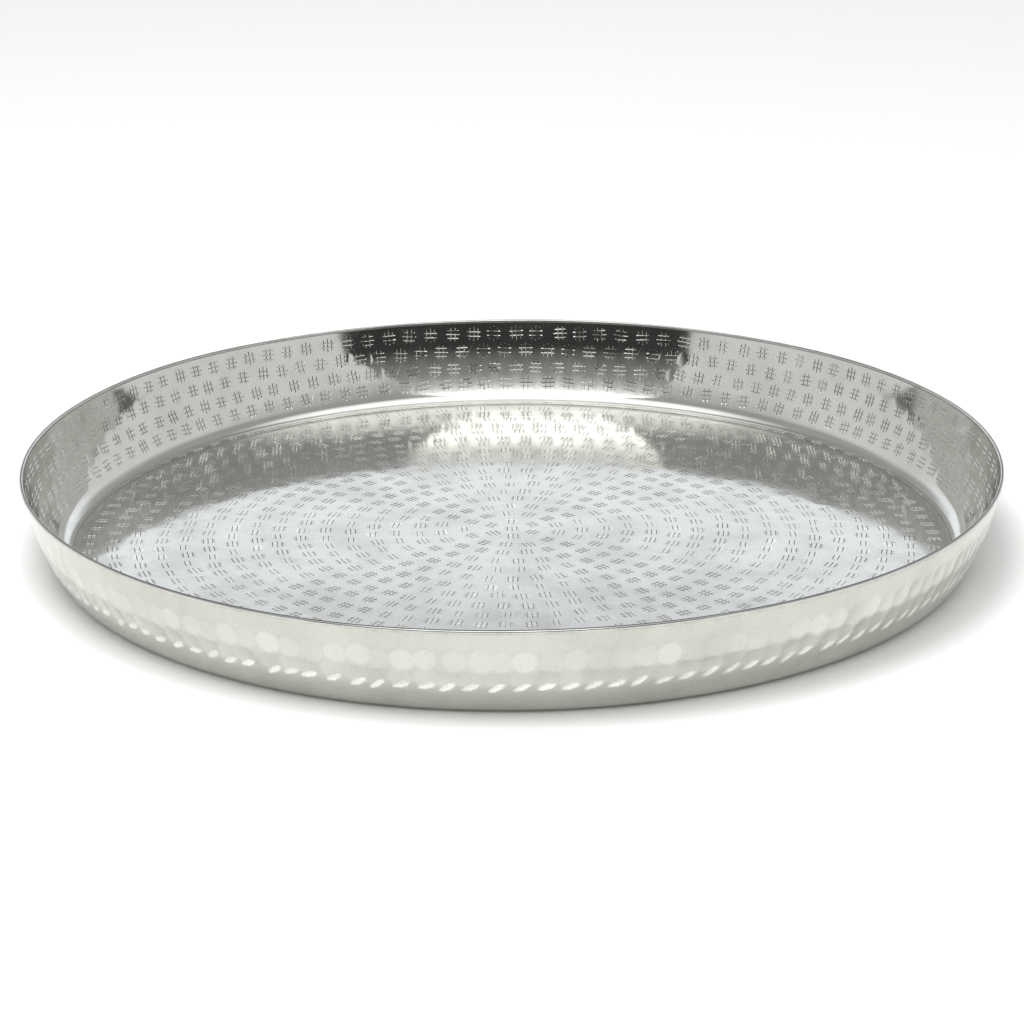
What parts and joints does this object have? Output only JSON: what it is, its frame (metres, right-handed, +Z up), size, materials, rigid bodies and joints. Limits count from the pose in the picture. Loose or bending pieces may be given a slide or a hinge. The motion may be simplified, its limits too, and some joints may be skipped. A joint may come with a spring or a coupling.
{
  "type": "hammered serving tray",
  "caption": "Round double-walled serving tray with a leaning wall, a cross-hatched punched inside and a hammered outside.",
  "frame": {"origin": "on the tray's axis at table height, the middle of the face that it stands on", "axes": "+Z up along the tray's axis, out of its open side; the tray is round, so +X and +Y are any two level directions"},
  "size_m": [0.4999, 0.5, 0.047],
  "materials": {
    "punched_dish_metal": "bright polished silver-coloured metal, cross-hatch punch marks all over",
    "hammered_shell_metal": "soft polished silver-coloured metal, round hammer facets in rows",
    "rim_bead_metal": "ground and polished seam bead"
  },
  "bodies": {
    "root": {"inner_dish": "punched_dish_metal", "outer_shell": "hammered_shell_metal", "rim_bead": "rim_bead_metal"}
  },
  "joints": []
}
